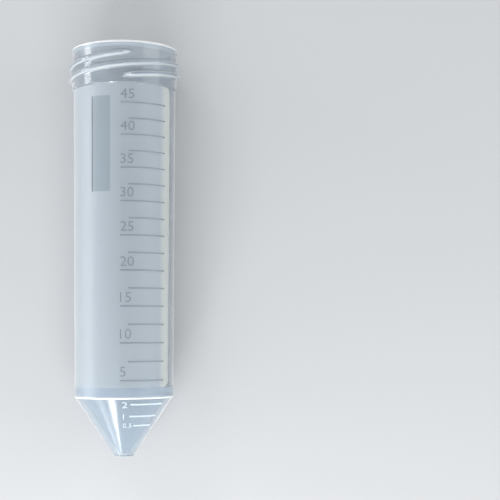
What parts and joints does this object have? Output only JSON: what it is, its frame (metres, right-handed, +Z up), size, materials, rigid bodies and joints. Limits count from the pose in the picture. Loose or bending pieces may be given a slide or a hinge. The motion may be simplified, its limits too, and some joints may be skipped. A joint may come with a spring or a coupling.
{
  "type": "50 ml conical tube",
  "caption": "Open centrifuge tube of clear plastic with a conical tip, raised volume lines on a matt sleeve and an external screw thread at the mouth.",
  "frame": {"origin": "on the surface that the tube lies on, under the middle of its length and width", "axes": "+Y along the tube towards its mouth, +Z up with the scale on the upper side, +X to the right of the scale"},
  "size_m": [0.0314, 0.1154, 0.0315],
  "materials": {
    "polypropylene": "natural and translucent, glossy, with a matt sleeve round the body"
  },
  "bodies": {
    "root": {"tube": "polypropylene"}
  },
  "joints": []
}
